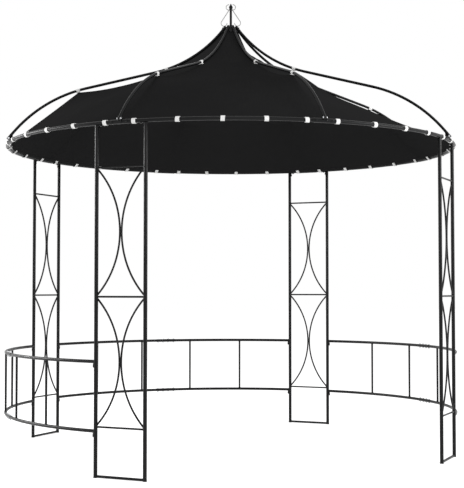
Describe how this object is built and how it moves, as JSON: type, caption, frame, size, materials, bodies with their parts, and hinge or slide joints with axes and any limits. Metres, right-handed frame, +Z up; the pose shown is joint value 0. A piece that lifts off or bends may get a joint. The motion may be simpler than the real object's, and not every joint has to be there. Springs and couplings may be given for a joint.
{
  "type": "round garden gazebo",
  "caption": "Round garden gazebo with open lattice pillars, low curved railings, a tube eave ring, curved rafters and a dark cloth roof strapped below them.",
  "frame": {"origin": "on the ground at the gazebo's axis", "axes": "+Z is up; -Y faces out of the open entrance; +X is to the right seen from the entrance"},
  "size_m": [3.0044, 3.0044, 2.98],
  "materials": {
    "frame_paint": "satin anthracite powder coat",
    "cloth": "matt woven polyester",
    "strap": "white woven strap",
    "scroll_wire": "satin grey",
    "bolt_steel": "bright zinc plating on the bolts, which only the visual model has"
  },
  "bodies": {
    "root": {"pillar_front_left": "frame_paint", "pillar_front_right": "frame_paint", "pillar_back_right": "frame_paint", "pillar_back_left": "frame_paint", "lattice_front_left": "frame_paint", "lattice_front_right": "frame_paint", "lattice_back_right": "frame_paint", "lattice_back_left": "frame_paint", "railing_right_front": "frame_paint", "railing_right_back": "frame_paint", "railing_back_right": "frame_paint", "railing_back_left": "frame_paint", "railing_left_back": "frame_paint", "railing_left_front": "frame_paint", "rail_sleeves": "frame_paint", "ring_1": "frame_paint", "ring_2": "frame_paint", "ring_3": "frame_paint", "ring_4": "frame_paint", "ring_5": "frame_paint", "ring_6": "frame_paint", "ring_7": "frame_paint", "ring_8": "frame_paint", "eave_joints": "frame_paint", "rafter_1": "frame_paint", "rafter_2": "frame_paint", "rafter_3": "frame_paint", "rafter_4": "frame_paint", "rafter_5": "frame_paint", "rafter_6": "frame_paint", "rafter_7": "frame_paint", "rafter_8": "frame_paint", "roof_hub": "frame_paint", "finial": "frame_paint", "finial_scrolls": "scroll_wire", "canopy_1": "cloth", "canopy_2": "cloth", "canopy_3": "cloth", "canopy_4": "cloth", "canopy_5": "cloth", "canopy_6": "cloth", "canopy_7": "cloth", "canopy_8": "cloth", "rafter_clips": "strap", "eave_straps": "strap"}
  },
  "joints": []
}
